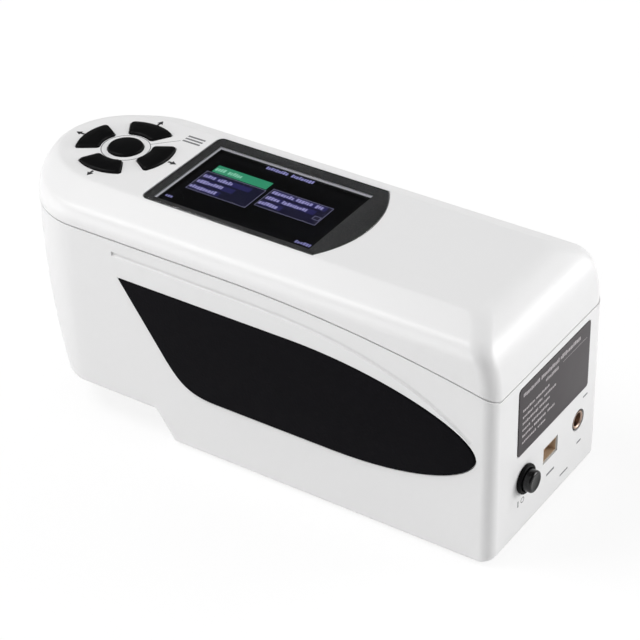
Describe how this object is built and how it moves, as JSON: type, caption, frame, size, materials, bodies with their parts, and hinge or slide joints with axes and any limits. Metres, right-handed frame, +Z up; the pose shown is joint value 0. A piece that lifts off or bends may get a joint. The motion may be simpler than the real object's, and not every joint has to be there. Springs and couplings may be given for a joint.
{
  "type": "portable colorimeter",
  "caption": "Handheld colour meter: white case with a round nose over a measuring port, colour display, ring of keys, rubber grips, and sockets on its end face.",
  "frame": {"origin": "on the table, under the middle of the instrument's bounding box", "axes": "+Z up; -X towards the nose with the measuring port, +X towards the end with the sockets; the display reads from -Y"},
  "size_m": [0.184, 0.068, 0.0825],
  "materials": {
    "white_plastic": "satin white moulding with a fine grain",
    "black_plastic": "satin black",
    "window": "polished dark acrylic",
    "grip_rubber": "matte rubber with a fine texture",
    "plate": "dark film, bare of text",
    "silicone": "translucent grey silicone",
    "foam": "closed-cell foam",
    "board": "green solder mask",
    "ribbon": "amber film",
    "lead": "red insulation",
    "battery_wrap": "blue shrink wrap",
    "sphere_white": "diffuse white lining",
    "glass": "clear polished glass",
    "steel": "zinc plated",
    "brass": "plated contact metal",
    "bright_metal": "bright rolled sheet",
    "aluminium": "mill finish"
  },
  "bodies": {
    "housing": {"lower_case": "white_plastic", "top_cover": "white_plastic", "grip_near": "grip_rubber", "grip_far": "grip_rubber", "display_window": "window", "window_gasket": "foam", "display_frame": "bright_metal", "display_panel": "window", "display_ribbon": "ribbon", "key_mat": "silicone", "key_board": "board", "key_board_screw_1": "steel", "key_board_screw_2": "steel", "main_board": "board", "main_board_screw_1": "steel", "main_board_screw_2": "steel", "battery_pack": "battery_wrap", "battery_contacts": "brass", "battery_lead": "lead", "foot_1": "grip_rubber", "foot_2": "grip_rubber", "foot_3": "grip_rubber", "foot_4": "grip_rubber", "case_screw_1": "steel", "case_screw_2": "steel", "case_screw_3": "steel", "case_screw_4": "steel", "port_board": "board", "power_jack": "black_plastic", "data_socket": "brass", "power_trim": "black_plastic", "power_switch": "black_plastic", "rating_plate": "plate", "measure_board": "board", "optics_bracket": "aluminium", "measuring_port": "black_plastic", "port_ring": "black_plastic", "port_glass": "glass", "port_screw_1": "steel", "port_screw_2": "steel", "port_screw_3": "steel", "sphere_lower": "sphere_white", "sphere_upper": "sphere_white", "sphere_screw_1": "steel", "sphere_screw_2": "steel", "sensor_barrel": "black_plastic", "sensor_lens": "glass", "sensor_board": "board", "lamp_holder": "black_plastic", "lamp_board": "board"},
    "menu_key": {"key_menu": "black_plastic"},
    "up_key": {"key_up": "black_plastic"},
    "down_key": {"key_down": "black_plastic"},
    "left_key": {"key_left": "black_plastic"},
    "right_key": {"key_right": "black_plastic"},
    "power_push": {"power_button": "black_plastic"},
    "measure_push": {"measure_button": "black_plastic"},
    "door": {"battery_door": "white_plastic"}
  },
  "joints": [
    {"name": "press_menu", "type": "slide", "parent": "housing", "child": "menu_key", "axis": [0, 0, -1], "range_m": [0, 0.0008], "stiffness_N_per_m": 300, "springref_m": -0.0006},
    {"name": "press_up", "type": "slide", "parent": "housing", "child": "up_key", "axis": [0, 0, -1], "range_m": [0, 0.0008], "stiffness_N_per_m": 300, "springref_m": -0.0006},
    {"name": "press_down", "type": "slide", "parent": "housing", "child": "down_key", "axis": [0, 0, -1], "range_m": [0, 0.0008], "stiffness_N_per_m": 300, "springref_m": -0.0006},
    {"name": "press_left", "type": "slide", "parent": "housing", "child": "left_key", "axis": [0, 0, -1], "range_m": [0, 0.0008], "stiffness_N_per_m": 300, "springref_m": -0.0006},
    {"name": "press_right", "type": "slide", "parent": "housing", "child": "right_key", "axis": [0, 0, -1], "range_m": [0, 0.0008], "stiffness_N_per_m": 300, "springref_m": -0.0006},
    {"name": "press_power", "type": "slide", "parent": "housing", "child": "power_push", "axis": [-1, 0, 0], "range_m": [0, 0.0025], "stiffness_N_per_m": 400, "springref_m": -0.001},
    {"name": "press_measure", "type": "slide", "parent": "housing", "child": "measure_push", "axis": [0, -1, 0], "range_m": [0, 0.0012], "stiffness_N_per_m": 400, "springref_m": -0.0008},
    {"name": "slide_battery_door", "type": "slide", "parent": "housing", "child": "door", "axis": [-1, 0, 0], "range_m": [0, 0.012]}
  ]
}
